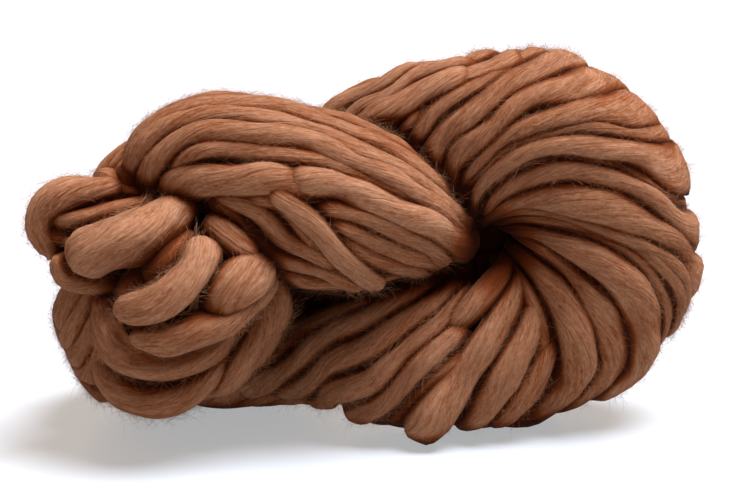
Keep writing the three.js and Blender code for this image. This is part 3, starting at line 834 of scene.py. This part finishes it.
# %% Loops in the air
# The loops that lie under or behind others are given lower tones, a painted shade.
LOOPS = [  # name, tone, end tips, (x, y, z, half thickness) along its way
    ("outer bowl", 0.3, (0.3, 0.3), [
        (-111, -50, 44, 6), (-110, -54, 37, 7.5), (-106, -58, 32, 8.5), (-92, -64, 27, 9),
        (-75, -62, 30, 8.3), (-67, -59, 36, 7), (-60, -52, 46, 6), (-56, -44, 54, 5)]),
    ("second bowl", 0.3, (0.3, 0.3), [
        (-108, -50, 71, 5.5), (-109, -61, 64, 6.8), (-107, -68, 54, 7.2), (-100, -70, 46, 6.6),
        (-88, -70, 42, 6), (-74, -69, 44, 5.8), (-63, -64, 50, 5.5), (-53, -50, 62, 4.5)]),
    ("inner bowl", 0.7, (0.1, 0.3), [
        (-98, -77, 57, 2.5), (-91, -82, 59, 6), (-82, -84, 59, 8.4), (-71, -83, 62, 8.6),
        (-59, -79, 65, 7.4), (-50, -72, 70, 6.4), (-43, -62, 76, 6), (-41, -54, 82, 5)]),
    ("middle roll", 0.6, (0.7, 0.6), [
        (-101, -78, 70, 6.8), (-92, -86, 72, 7.8), (-84, -88, 75, 8), (-76, -87, 81, 8),
        (-70, -83, 87, 8), (-67, -77, 92, 7.6), (-66, -68, 95, 6.5)]),
    ("upper petal", 0.4, (0.3, 0.3), [
        (-65, -54, 103, 5.5), (-60, -64, 100, 7), (-53, -68, 94, 7.6), (-46, -62, 88, 6.5)]),
    ("bright petal", 1.2, (0.4, 0.2), [
        (-42, -56, 85, 7), (-47, -68, 83, 9.6), (-53, -76, 80, 10.4), (-59, -78, 75, 9.2),
        (-66, -70, 66, 4)]),
    ("right side", 0.0, (0.3, 0.3), [
        (-43, -44, 83, 6), (-38, -49, 70, 7), (-41, -52, 58, 7), (-51, -55, 43, 7),
        (-60, -54, 33, 6.6), (-76, -46, 25, 5)]),
    ("behind the right side", -0.5, (0.3, 0.3), [
        (-50, -38, 83, 5.5), (-41, -42, 75, 6), (-36, -42, 64, 6), (-40, -38, 50, 5.5)]),
    ("long loop", 0.9, (0.4, 0.75), [
        (-74, -42, 109, 8), (-80, -54, 105, 10), (-90, -65, 100, 11.3), (-103, -70, 97, 11.8),
        (-114, -69, 93, 11.2), (-121, -65, 89, 9.5)]),
    ("long loop, coming back", 0.5, (0.6, 0.3), [
        (-127, -60, 90, 7), (-124, -60, 81, 6.5), (-114, -59, 77, 6), (-100, -54, 77, 5.5)]),
    ("under the long loop", -0.4, (0.3, 0.4), [
        (-90, -56, 88, 5.5), (-94, -64, 81, 6.6), (-99, -63, 75, 6.2), (-104, -55, 69, 5)]),
    ("behind the roll", -0.4, (0.3, 0.3), [
        (-72, -58, 98, 6), (-79, -68, 92, 7), (-85, -69, 86, 7), (-91, -64, 79, 6)]),
    ("behind the long loop", 0.3, (0.3, 0.2), [
        (-86, -42, 108, 5), (-103, -50, 107, 5.2), (-120, -53, 103, 5), (-133, -49, 102, 3.5)]),
    ("below that", 0.1, (0.3, 0.3), [
        (-138, -44, 100, 4), (-130, -49, 96, 5), (-118, -50, 93, 5)]),
    ("under the far loop", -1.2, (0.3, 0.3), [
        (-104, -26, 104, 7), (-114, -34, 104, 8), (-126, -38, 102, 7.5), (-131, -36, 95, 6)]),
    ("between the loops", -1.0, (0.3, 0.3), [
        (-70, -40, 99, 8), (-86, -46, 98, 9), (-102, -47, 94, 9.5), (-118, -44, 88, 8)]),
    ("far loop", 0.5, (0.3, 0.3), [
        (-104, -32, 110, 6), (-112, -41, 113, 7.2), (-126, -47, 113, 7.8), (-135, -48, 108, 7.6),
        (-138, -48, 99, 7.2), (-132, -46, 90, 6.6), (-122, -42, 88, 6)]),
    ("small rolled end", -0.2, (0.5, 0.3), [
        (-116, -26, 116, 4.4), (-110, -32, 117, 4.8), (-100, -38, 112, 4.8), (-90, -38, 109, 4.4)]),
    ("bulge beside it", 0.0, (0.3, 0.3), [
        (-106, -18, 123, 4.5), (-102, -28, 119, 4.8), (-98, -33, 114, 4.5), (-93, -34, 108, 4)]),
    ("left end, outside", -0.1, (0.4, 0.4), [
        (-120, -16, 68, 6), (-129, -14, 61, 6.8), (-132, -12, 52, 7), (-130, -15, 43, 6.4),
        (-124, -22, 36, 5.5)]),
    ("left end, inside", -0.1, (0.4, 0.4), [
        (-118, -30, 69, 5.5), (-124, -29, 58, 6.2), (-125, -28, 44, 6.4), (-122, -31, 31, 6.4),
        (-110, -38, 20, 6)]),
    ("left end, front", 0.0, (0.4, 0.4), [
        (-110, -42, 71, 5), (-115, -44, 61, 5.6), (-116, -44, 48, 5.6), (-114, -46, 37, 5.6),
        (-106, -48, 28, 5)]),
    ("out of the eye", 0.5, (0.3, 0.4), [
        (66, -8, 77, 4.5), (62, -22, 74, 5.8), (56, -32, 69, 6.4), (49, -38, 62, 6.4),
        (42, -40, 55, 5.6), (36, -38, 49, 4.5)]),
    ("turn on the table", 0.6, (0.3, 0.8), [
        (70, -10, 75, 5), (68, -24, 68, 6), (62, -35, 58, 6.6), (53.5, -42, 46, 7), (43, -45, 33, 7.8),
        (35, -48, 21, 9.5), (29, -47, 13, 10.5), (24, -40, 10, 9)]),
    ("beside the turn", 0.5, (0.3, 0.4), [
        (73, -12, 69, 5), (75, -25, 61, 6), (73, -34, 51, 6.6), (67, -40, 41, 6.8),
        (59, -42, 27, 7), (51, -40, 15, 7), (43, -28, 7, 6)]),
    ("behind that", -0.5, (0.3, 0.3), [
        (82, -20, 54, 5), (80, -32, 40, 6.4), (74, -37, 27, 6.6), (64, -36, 14, 6.6), (56, -26, 8, 6)]),
]
KNOT_BODY = [  # the mass of loops behind those: x, y, z, half height, half depth
    (-128, -26, 48, 16, 12), (-114, -34, 50, 28, 20), (-92, -42, 52, 32, 24), (-68, -42, 56, 32, 22),
    (-50, -34, 62, 24, 18), (-40, -26, 66, 10, 10),
]
KNOT_HEART = np.array([-84.0, -34.0, 62.0])   # the knot's loops face away from this point
RING_HEART = np.array([40.0, -10.0, 60.0])    # and the turns in front of the ring from this one
LOOP_FLAT = 0.97                         # a loop's thickness, as a share of its width


def loop_strand(tone_and_shade, tips, way):
    """A strand through points in the air, its outward side facing away from the nearer heart."""
    _, line = smooth_line(way, STEP)
    path, half = line[:, :3], line[:, 3]
    heart = RING_HEART if way[0][0] > 0 else KNOT_HEART
    return strand(path, unit(path - heart), half, half * LOOP_FLAT, tips, tone_and_shade)


loops = [loop_strand(tone_and_shade, tips, way) for _, tone_and_shade, tips, way in LOOPS]
knot_body = arm(KNOT_BODY)
loops += wound(knot_body, np.arange(-40, 120, 12.0), lean=3.2, wide=7.0, lift=-1.0,
               spread=(-190, 190))
tell("the knot and the loose loops", loops)

# %% [markdown]
# ## The wool inside
#
# Between the strands one looks into the bundles and sees dark wool. Plain tubes a little under
# the skin stand for the turns inside, so no light shines through, and their colour is painted dark
# as shade.

# %% Cores
CORE_SINK = 11.0                         # how far under the bundle's skin a tube lies
CORE_CORNERS = 40                        # points round a tube
ARM_SECTIONS, RING_SECTIONS, INNER_SECTIONS = 90, 110, 40
INNER_TURNS = [  # half size, points along the way
    ("knot heart", 28.0, [(-92, -20, 50), (-80, -28, 68), (-66, -20, 92)]),
    ("in the eye", 25.0, [(57, 14, 68), (57, 14, 102)]),
    ("between the arms", 24.0, [(-84, 6, 66), (-50, 6, 68), (-16, -4, 72), (12, -8, 73),
                                (46, 0, 68)]),
]


def core(lay, places):
    """A closed tube under a skin: rings of points at the places, and the middle of each end."""
    angles = np.linspace(0, 360, CORE_CORNERS, endpoint=False)
    p, a = (v.ravel() for v in np.meshgrid(places, angles, indexing="ij"))
    points, _ = lay(p, a, np.full(p.size, CORE_SINK))
    rings = points.reshape(len(places), CORE_CORNERS, 3)
    points = np.concatenate([points, rings[[0, -1]].mean(axis=1)])
    return (points, *tube_faces(len(places), CORE_CORNERS))


def arm_core(bundle, sections):
    """A core from one end of an arm to the other."""
    return core(lay_on(bundle), np.linspace(0, bundle["places"][-1], sections))


cores = [arm_core(bundle, ARM_SECTIONS) for bundle in (lower_arm, back_arm, upper_arm, knot_body)]
cores.append(core(on_ring, np.linspace(RIM[0, 0], RIM[-1, 0], RING_SECTIONS)))
for _, half, way in INNER_TURNS:
    cores.append(arm_core(arm([(*point, half, half) for point in way]), INNER_SECTIONS))
points, quads, triangles = joined(cores)
points[:, 2] = np.maximum(points[:, 2], 2 * TABLE_CLEARANCE)
inside = piece("wool_inside", points, quads, triangles)

# %% The strands' pieces, with how buried they are
everything = (ring_strands + under_ring + shoulder + back_strands + lower_strands + under_lower
              + upper_strands + under_upper + loops)
cells = wool_cells(everything, points)
ring = bundle_piece("ring_turns", ring_strands, cells)
ring_under = bundle_piece("ring_turns_under", under_ring, cells)
back = bundle_piece("back_arm_turns", back_strands + shoulder, cells)
lower = bundle_piece("lower_arm_turns", lower_strands + under_lower, cells)
upper = bundle_piece("upper_arm_turns", upper_strands + under_upper, cells)
knot = bundle_piece("knot_loops", loops, cells)
tell("all of it", everything)

# %% [markdown]
# ## Stray hairs
#
# Wool never lies quite flat. Thousands of single fibres lift off the strands, most of them almost
# along the strand and a few right off it, and they soften every edge. Each is a thin needle with
# one bend. On the crests they are longest, and in the furrows they are short and darkened with
# painted shade.

# %% Hairs
HAIRS_WHERE = 0.2                        # hairs grow where the skin is less buried than this
HAIRS_FROM = 5.0                         # and higher than this above the table
HAIR_LENGTHS = (3.0, 22.0)
HAIR_LENGTH_SHAPE = (1.3, 4.0)           # a beta curve's: many short ones and few long ones
HAIR_RISE = 0.36                         # how steeply they leave the skin, on average
HAIR_RISE_SHAPE = (2.0, 0.5)             # a gamma curve's
HAIR_SPREAD, HAIR_BEND = 0.6, 0.4        # how far they turn sideways, and at the bend
HAIR_RADIUS = 0.032
HAIR_ROOT = 0.3                          # how deep a root sits in the skin
HAIR_SCATTER = 0.9                       # of a cell of skin, within which a root may lie
HAIR_CLEARANCE = 0.6                     # how far a hair stays above the table
HAIR_SHORTENS = 0.6                      # the share a hair loses where the skin is most buried
HAIR_ASIDE = 0.3                         # turns the ring of three a little, at any angle
HAIR_CORNERS = 5


def hair_roots(sources, count):
    """Spots picked at random on the open skin of strands. Gives each spot, the way out of the
    skin, the yarn's way, and how buried it is, which sets its painted shade, as a share of HAIRS_WHERE."""
    open_skin = [np.flatnonzero(one["painted_shade"][:-2 - CELLS_AROUND] < HAIRS_WHERE)
                 for one in sources]
    sizes = np.array([len(spots) for spots in open_skin], float)
    found = []
    for one, spots, share in zip(sources, open_skin,
                                 chance.multinomial(count, sizes / sizes.sum())):
        pick = chance.choice(spots, share) if share else np.zeros(0, int)
        points, corner, far = one["points"], one["points"][pick], pick + CELLS_AROUND
        near = np.where(pick % CELLS_AROUND > 0, pick - 1, pick + 1)
        u, v = chance.uniform(0, HAIR_SCATTER, (2, share, 1))
        root = corner + u * (points[near] - corner) + v * (points[far] - corner)
        found.append((root, one["faced"][pick], unit(points[far] - corner),
                      one["painted_shade"][pick, None] / HAIRS_WHERE))
    root, out, way, depth = (np.concatenate(column) for column in zip(*found))
    above = root[:, 2] > HAIRS_FROM
    return (v[above] for v in (root - HAIR_ROOT * out, out, way, depth))


def needles(root, bend, tip, way, out):
    """Thin closed shapes: one corner at the root, a ring of three at the bend, one at the tip."""
    u = unit(np.cross(way, out + HAIR_ASIDE))
    v = np.cross(way, u)
    a = np.linspace(0, 2 * np.pi, 3, endpoint=False)
    star = HAIR_RADIUS * (u[:, None] * np.cos(a)[:, None] + v[:, None] * np.sin(a)[:, None])
    points = np.concatenate([root[:, None], bend[:, None] + star, tip[:, None]], axis=1)
    now, after = np.arange(1, 4), np.array([2, 3, 1])
    triangles = np.concatenate([np.stack([np.zeros(3, int), after, now], -1),
                                np.stack([now, after, np.full(3, 4)], -1)])
    starts = HAIR_CORNERS * np.arange(len(root))[:, None, None]
    return points.reshape(-1, 3), (triangles + starts).reshape(-1, 3)


def hairs(name, sources, count):
    """Needles rooted on strands. The first half follows the yarn with a share of the skin's
    normal, and the second half turns a little away from it: bend = root + way length / 2, and
    tip = bend + (way + chance) length / 2. In furrows length shrinks by 1 - 0.6 depth^2."""
    root, out, way, depth = hair_roots(sources, count)
    count = len(root)
    way = way * np.sign(chance.normal(size=(count, 1)))
    across = np.cross(way, out)
    rise = HAIR_RISE * chance.gamma(*HAIR_RISE_SHAPE, (count, 1))
    way = unit(way + out * rise + across * chance.normal(0, HAIR_SPREAD, (count, 1)))
    short, long = HAIR_LENGTHS
    length = short + (long - short) * chance.beta(*HAIR_LENGTH_SHAPE, (count, 1))
    length *= 1 - HAIR_SHORTENS * depth ** 2
    bend = root + way * length * 0.5
    tip = bend + unit(way + chance.normal(0, HAIR_BEND, (count, 3))) * length * 0.5
    for spot in (bend, tip):
        spot[:, 2] = np.maximum(spot[:, 2], HAIR_CLEARANCE)
    points, triangles = needles(root, bend, tip, way, out)
    tone_and_shade = np.repeat(chance.normal(0, 1, count), HAIR_CORNERS)
    # How deep a hair's root lies in a furrow becomes its painted shade.
    return piece(name, points, np.zeros((0, 4), int), triangles,
                 [("tone_and_shade", "FLOAT", tone_and_shade), ("painted_shade", "FLOAT", np.repeat(depth, HAIR_CORNERS))])


HAIRY = [  # piece, strands, how many
    ("ring", ring_strands, 32500),
    ("back", back_strands + shoulder, 18000),
    ("lower", lower_strands + under_lower, 12500),
    ("upper", upper_strands + under_upper, 18000),
    ("knot", loops, 17000),
]
hair_pieces = []
for title, sources, count in HAIRY:
    hair_pieces.append(hairs("stray_hairs_" + title, sources, count))

# %% [markdown]
# ## The look of the wool
#
# Seen close, roving is thousands of fine fibres that run along the strand with a slow twist. One
# node group makes them from the straight yarn's coordinates: noise that is fine across the yarn
# and long along it. It gives a colour and a height for bump. The strands' two materials place it
# with their own values.

# %% Helpers for nodes
def plug(tree, value, socket):
    """A link if the value is another node's output, and a plain value if it isn't."""
    if hasattr(value, "is_output"):
        tree.links.new(value, socket)
    elif value is not None:
        socket.default_value = value


def maths(tree, operation, first, second=None, clamp=False):
    """One operation on one or two values, held between 0 and 1 if clamp is set."""
    node = tree.nodes.new("ShaderNodeMath")
    node.operation = operation
    node.use_clamp = clamp
    plug(tree, first, node.inputs[0])
    plug(tree, second, node.inputs[1])
    return node.outputs[0]


def mixed(tree, factor, first, second):
    """first (1 - factor) + second factor, for two colours."""
    node = tree.nodes.new("ShaderNodeMix")
    node.data_type = "RGBA"
    for title, value in (("Factor", factor), ("A", first), ("B", second)):
        plug(tree, value, node.inputs[title])
    return node.outputs["Result"]


def smooth_range(tree, value, low, high):
    """soft_step of the share of the way from low to high."""
    node = tree.nodes.new("ShaderNodeMapRange")
    node.interpolation_type = "SMOOTHSTEP"
    tree.links.new(value, node.inputs["Value"])
    node.inputs["From Min"].default_value = low
    node.inputs["From Max"].default_value = high
    return node.outputs["Result"]


def noise(tree, vector, scales, detail, roughness=0.5, output="Fac"):
    """Noise with so many waves a metre along each axis of the vector."""
    stretch = tree.nodes.new("ShaderNodeMapping")
    tree.links.new(vector, stretch.inputs["Vector"])
    stretch.inputs["Scale"].default_value = scales
    node = tree.nodes.new("ShaderNodeTexNoise")
    node.inputs["Scale"].default_value = 1.0
    node.inputs["Detail"].default_value = detail
    node.inputs["Roughness"].default_value = roughness
    tree.links.new(stretch.outputs["Vector"], node.inputs["Vector"])
    return node.outputs[output]


def twisted(tree, vector, rate):
    """The straight yarn turned about its own length, in radians a metre."""
    split = tree.nodes.new("ShaderNodeSeparateXYZ")
    tree.links.new(vector, split.inputs[0])
    node = tree.nodes.new("ShaderNodeVectorRotate")
    node.rotation_type = "Z_AXIS"
    tree.links.new(vector, node.inputs["Vector"])
    tree.links.new(maths(tree, "MULTIPLY", split.outputs["Z"], rate), node.inputs["Angle"])
    return node.outputs["Vector"]


# %% The fibres' patterns
PATTERNS = {  # waves a metre across the yarn and along it, detail, roughness, twist, swayed
    "fibre": (1700, 150, 2.0, 0.6, 9.0, True),
    "crossing fibre": (1500, 140, 2.0, 0.6, -9.0, True),
    "lock": (420, 36, 2.0, 0.5, 0.0, True),
    "patch": (75, 40, 3.0, 0.5, 0.0, False),
    "fleck": (1000, 420, 2.0, 0.6, 0.0, True),
    "split": (105, 10, 1.0, 0.5, 7.0, True),
}
SWAY_WAVES = (170, 170, 90)
SWAY = 0.0022                            # how far fibres stray from their line, metres
FIBRE_SHARE = 0.92                       # brings the higher of two noises back towards the middle
SPLIT_WIDTH = 0.035                      # of the noise's range, about its middle


def swayed_yarn(tree, straight):
    """The straight yarn pushed sideways by slow noise."""
    node = tree.nodes.new("ShaderNodeVectorMath")
    node.operation = "MULTIPLY_ADD"
    plug(tree, noise(tree, straight, SWAY_WAVES, detail=2.0, output="Color"), node.inputs[0])
    plug(tree, (SWAY, SWAY, 0.0), node.inputs[1])
    plug(tree, straight, node.inputs[2])
    return node.outputs["Vector"]


def fibre_patterns(tree, straight):
    """Each row's noise, with the two directions of fibre made one by taking the higher, and the
    split turned into thin lines: 1 - soft_step(|noise - 1/2| / width)."""
    swayed = swayed_yarn(tree, straight)
    made = {}
    for name, (across, along, detail, roughness, twist, sways) in PATTERNS.items():
        vector = swayed if sways else straight
        vector = twisted(tree, vector, twist) if twist else vector
        made[name] = noise(tree, vector, (across, across, along), detail, roughness)
    both = maths(tree, "MAXIMUM", made["fibre"], made.pop("crossing fibre"))
    made["fibre"] = maths(tree, "MULTIPLY", both, FIBRE_SHARE)
    off_middle = maths(tree, "ABSOLUTE", maths(tree, "SUBTRACT", made["split"], 0.5))
    made["split"] = maths(tree, "SUBTRACT", 1.0, smooth_range(tree, off_middle, 0.0, SPLIT_WIDTH))
    return made


# %% Their height and colour
HEIGHTS = {"fibre": 0.3, "lock": 1.0, "split": -0.2}
LIGHTS = {"fibre": 2.0, "lock": 0.8, "patch": 0.9, "fleck": 1.1}
TONE_LIGHT = 0.16                        # how much lighter one step of a strand's tone is, its painted light included
LIGHT_LEVEL = 0.45                       # how light wool is where every pattern is at its middle
# painted shade along the splits between the fibres
SPLIT_SHADE = 0.3
IN_SHADE = (0.07, 0.34)                  # how buried wool is when painted shade starts and when it is full
IN_THE_DARK = (0.22, 0.54)               # and when the painted dark starts and when it is full
SHADE_LIGHT = 0.9                        # how much of the fibres' light is left in the shade


def fibre_height(tree, patterns):
    """The sum of each pattern times its height."""
    height = 0.0
    for name, size in HEIGHTS.items():
        height = maths(tree, "ADD", height, maths(tree, "MULTIPLY", patterns[name], size))
    return height


def fibre_light(tree, patterns, tone_and_shade):
    """The sum of size (pattern - 1/2), plus the strand's own tone with its painted light and shade, and
    the usual level.
    """
    light = maths(tree, "MULTIPLY", tone_and_shade, TONE_LIGHT)
    for name, size in LIGHTS.items():
        about_zero = maths(tree, "SUBTRACT", patterns[name], 0.5)
        light = maths(tree, "ADD", light, maths(tree, "MULTIPLY", about_zero, size))
    return maths(tree, "ADD", light, LIGHT_LEVEL, clamp=True)


def fibre_colour(tree, patterns, given):
    """Open wool goes from the wool's colour to the light one, with painted shade in its splits.
    Where it is buried it goes over to the shaded colour, and deeper down to the deep one, as
    painted shade."""
    deep, shade, wool, bright = (given[title + " Colour"]
                                 for title in ("Deep", "Shaded", "Wool", "Light"))
    light = fibre_light(tree, patterns, given["Tone And Shade"])
    split = maths(tree, "MULTIPLY", patterns["split"], SPLIT_SHADE)
    open_wool = mixed(tree, split, mixed(tree, light, wool, bright), shade)
    shaded_wool = mixed(tree, maths(tree, "MULTIPLY", light, SHADE_LIGHT), shade, wool)
    in_shade = smooth_range(tree, given["Buried"], *IN_SHADE)
    in_the_dark = smooth_range(tree, given["Buried"], *IN_THE_DARK)
    return mixed(tree, in_the_dark, mixed(tree, in_shade, open_wool, shaded_wool), deep)


# %% The node group itself
# The mask of how buried wool is, with the deep and shaded colours, paints shade into the furrows.
INPUTS = {"Straight": "Vector", "Tone And Shade": "Float", "Buried": "Float", "Deep Colour": "Color",
          "Shaded Colour": "Color", "Wool Colour": "Color", "Light Colour": "Color"}
OUTPUTS = {"Colour": "Color", "Height": "Float"}


def fibre_group():
    """A node group with named sockets that every strand's material shares."""
    group = bpy.data.node_groups.new("combed fibres", "ShaderNodeTree")
    for way, sockets in (("INPUT", INPUTS), ("OUTPUT", OUTPUTS)):
        for title, kind in sockets.items():
            group.interface.new_socket(title, in_out=way, socket_type="NodeSocket" + kind)
    given = group.nodes.new("NodeGroupInput").outputs
    result = group.nodes.new("NodeGroupOutput").inputs
    patterns = fibre_patterns(group, given["Straight"])
    group.links.new(fibre_height(group, patterns), result["Height"])
    group.links.new(fibre_colour(group, patterns, given), result["Colour"])
    return group


fibres = fibre_group()
print("nodes in the fibres' group:", len(fibres.nodes))

# %% [markdown]
# ## Materials
#
# Wool is matt, with only a trace of shine along its edges, which a little brown sheen gives. The
# colours are those of the wool deep in a furrow and in shade, both painted shade, in plain light
# and where fibres catch the light. The bundles and the knot differ only in how dark the painted
# shade in their furrows is, because the knot's loops lie looser. The wool inside is painted dark
# as shade and is patchy, and a single hair is lighter than the strand it comes from.

# %% Wool colours
def linear(red, green, blue):
    """A screen colour from 0 to 255 as the linear light a shader wants."""
    c = np.array([red, green, blue]) / 255
    return (*np.where(c <= 0.04045, c / 12.92, ((c + 0.055) / 1.055) ** 2.4), 1.0)


# The deepest and the shaded colour are painted shade, for wool in furrows and in the shade.
DEEPEST_SHADE = linear(52, 18, 4)
SHADED = linear(86, 37, 12)
WOOL = linear(104, 51, 17)
WOOL_LIGHT = linear(147, 107, 81)
HAIR = linear(172, 123, 88)
# Painted shade: the wool inside is the same roving, darkened as shade.
INSIDE_DARKER_SHADE = linear(30, 13, 6)
INSIDE_PALER_SHADE = linear(56, 26, 12)
MURK_WAVES = (300, 300, 300)             # a metre, in the wool inside
SHEEN, SHEEN_ROUGHNESS, SHEEN_TINT = 0.05, 0.3, (1.0, 0.6, 0.36, 1.0)
SHINE = 0.05                             # the shader's specular level
WOOL_ROUGHNESS, INSIDE_ROUGHNESS, HAIR_ROUGHNESS = 0.92, 1.0, 0.9
BUMP, BUMP_HEIGHT = 0.8, 0.0012          # strength, and metres from low to high
print("wool in plain light, linear:", np.round(WOOL, 3))


# %% Wool materials
def principled(name, roughness):
    """A material and its shader, almost without shine."""
    material = bpy.data.materials.new(name)
    material.use_nodes = True
    shader = material.node_tree.nodes["Principled BSDF"]
    shader.inputs["Roughness"].default_value = roughness
    shader.inputs["Specular IOR Level"].default_value = SHINE
    return material, material.node_tree, shader.inputs


def attribute(tree, title, output="Fac"):
    """A mesh's attribute."""
    node = tree.nodes.new("ShaderNodeAttribute")
    node.attribute_name = title
    return node.outputs[output]


def wool_material(name, depth):
    """The strands' wool. The depth says how strongly painted shade darkens its furrows."""
    material, tree, shader = principled(name, WOOL_ROUGHNESS)
    group = tree.nodes.new("ShaderNodeGroup")
    group.node_tree = fibres
    painted_shade = maths(tree, "MULTIPLY", attribute(tree, "painted_shade"), depth)
    for title, value in (("Straight", attribute(tree, "straight", "Vector")),
                         ("Tone And Shade", attribute(tree, "tone_and_shade")), ("Buried", painted_shade),
                         ("Deep Colour", DEEPEST_SHADE), ("Shaded Colour", SHADED),
                         ("Wool Colour", WOOL), ("Light Colour", WOOL_LIGHT)):
        plug(tree, value, group.inputs[title])
    tree.links.new(group.outputs["Colour"], shader["Base Color"])
    bump = tree.nodes.new("ShaderNodeBump")
    bump.inputs["Strength"].default_value = BUMP
    bump.inputs["Distance"].default_value = BUMP_HEIGHT
    tree.links.new(group.outputs["Height"], bump.inputs["Height"])
    tree.links.new(bump.outputs["Normal"], shader["Normal"])
    shader["Sheen Weight"].default_value = SHEEN
    shader["Sheen Roughness"].default_value = SHEEN_ROUGHNESS
    shader["Sheen Tint"].default_value = SHEEN_TINT
    return material


def inside_shade_material():
    """Wool painted dark as the shade inside the bundles, with soft patches a few mm wide."""
    material, tree, shader = principled("wool inside", INSIDE_ROUGHNESS)
    place = tree.nodes.new("ShaderNodeTexCoord").outputs["Object"]
    murk = noise(tree, place, MURK_WAVES, detail=3.0)
    tree.links.new(mixed(tree, murk, INSIDE_DARKER_SHADE, INSIDE_PALER_SHADE), shader["Base Color"])
    return material


def hair_material():
    """Each hair has its own lightness, and those in furrows take the shaded colour as painted shade."""
    material, tree, shader = principled("single fibres", HAIR_ROUGHNESS)
    lightness = maths(tree, "ADD", attribute(tree, "tone_and_shade"), 0.5, clamp=True)
    colour = mixed(tree, lightness, WOOL_LIGHT, HAIR)
    colour = mixed(tree, attribute(tree, "painted_shade"), colour, SHADED)
    tree.links.new(colour, shader["Base Color"])
    return material


bundle_wool = wool_material("roving", depth=1.04)
knot_wool = wool_material("roving of the knot", depth=0.78)
finishes = [(inside, inside_shade_material()), (knot, knot_wool)]
finishes += [(made, bundle_wool) for made in (ring, ring_under, back, lower, upper)]
hair_wool = hair_material()
finishes += [(made, hair_wool) for made in hair_pieces]
for made, material in finishes:
    made.data.materials.append(material)
print("materials:", sorted({material.name for _, material in finishes}))

# %% [markdown]
# ## Fitting the pieces to the frame
#
# All of it stands for the one solid of the hank, which is hidden, and rides with it.

# %% Riding and replacing
for made, _ in finishes:
    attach(made, "root")
    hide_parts("hank")
print("pieces that stand for the hank:", len(finishes))

# %% [markdown]
# ## Floor, light and camera
#
# The hank lies on a white table that goes on past the edge of the view. One broad soft light
# stands above it, a little to the right, and a dim warm room fills the furrows with brown, as
# light does that has gone from turn to turn. A camera looks on from the picture's own height.

# %% The table
HALF_TABLE = 12.0
TABLE_COLOUR = (0.308, 0.32, 0.332, 1)
TABLE_GLOW = (0.97, 1.0, 1.02, 1)        # its own light, so that it comes out white
TABLE_GLOW_STRENGTH = 0.4
TABLE_ROUGHNESS = 0.3


def table_top():
    """A flat square, a little glossy."""
    material = bpy.data.materials.new("white table")
    material.use_nodes = True
    shader = material.node_tree.nodes["Principled BSDF"].inputs
    shader["Base Color"].default_value = TABLE_COLOUR
    shader["Emission Color"].default_value = TABLE_GLOW
    shader["Emission Strength"].default_value = TABLE_GLOW_STRENGTH
    shader["Roughness"].default_value = TABLE_ROUGHNESS
    mesh = bpy.data.meshes.new("table")
    corners = [(x * HALF_TABLE, y * HALF_TABLE, 0) for x, y in ((-1, -1), (1, -1), (1, 1), (-1, 1))]
    mesh.from_pydata(corners, [], [(0, 1, 2, 3)])
    mesh.materials.append(material)
    top = bpy.data.objects.new("table", mesh)
    bpy.context.scene.collection.objects.link(top)
    return top


table_top()
print("table:", 2 * HALF_TABLE, "m wide")

# %% Lights
SUN_STRENGTH = 9.8
SUN_COLOUR = (0.935, 1.0, 1.12)
SUN_WIDTH = 34                           # degrees across, so its shadows have soft edges
SUN_WAY = (-0.34, 0.05, -1.0)            # which way its light goes
ROOM_COLOUR = (1, 0.62, 0.36, 1)
ROOM_STRENGTH = 0.44
sun = bpy.data.lights.new("light above", "SUN")
sun.energy = SUN_STRENGTH
sun.color = SUN_COLOUR
sun.angle = np.radians(SUN_WIDTH)
lamp = bpy.data.objects.new("light above", sun)
lamp.rotation_euler = mathutils.Vector(SUN_WAY).to_track_quat("-Z", "Y").to_euler()
bpy.context.scene.collection.objects.link(lamp)
room = bpy.data.worlds.new("warm room")
room.use_nodes = True
room.node_tree.nodes["Background"].inputs["Color"].default_value = ROOM_COLOUR
room.node_tree.nodes["Background"].inputs["Strength"].default_value = ROOM_STRENGTH
bpy.context.scene.world = room
bpy.context.scene.view_settings.view_transform = "Standard"
print("light strengths:", SUN_STRENGTH, ROOM_STRENGTH)

# %% The camera
CAMERA_AIM = np.array([-0.00085, 0.0082, 0.082])
CAMERA_DISTANCE = 1.1
CAMERA_ABOVE = np.radians(12)            # how far above level it looks from
WIDTH_SEEN = 0.33075                     # metres across the picture at the aim
SENSOR = 36.0                            # mm
FARTHEST_SEEN = 60
camera_data = bpy.data.cameras.new("camera")
camera_data.sensor_width = SENSOR
camera_data.lens = SENSOR * CAMERA_DISTANCE / WIDTH_SEEN
camera_data.clip_end = FARTHEST_SEEN
camera = bpy.data.objects.new("camera", camera_data)
camera.location = CAMERA_AIM + CAMERA_DISTANCE * np.array(
    [0, -np.cos(CAMERA_ABOVE), np.sin(CAMERA_ABOVE)])
camera.rotation_euler = (np.pi / 2 - CAMERA_ABOVE, 0, 0)
bpy.context.scene.collection.objects.link(camera)
bpy.context.scene.camera = camera
print(f"lens: {camera_data.lens:.0f} mm")
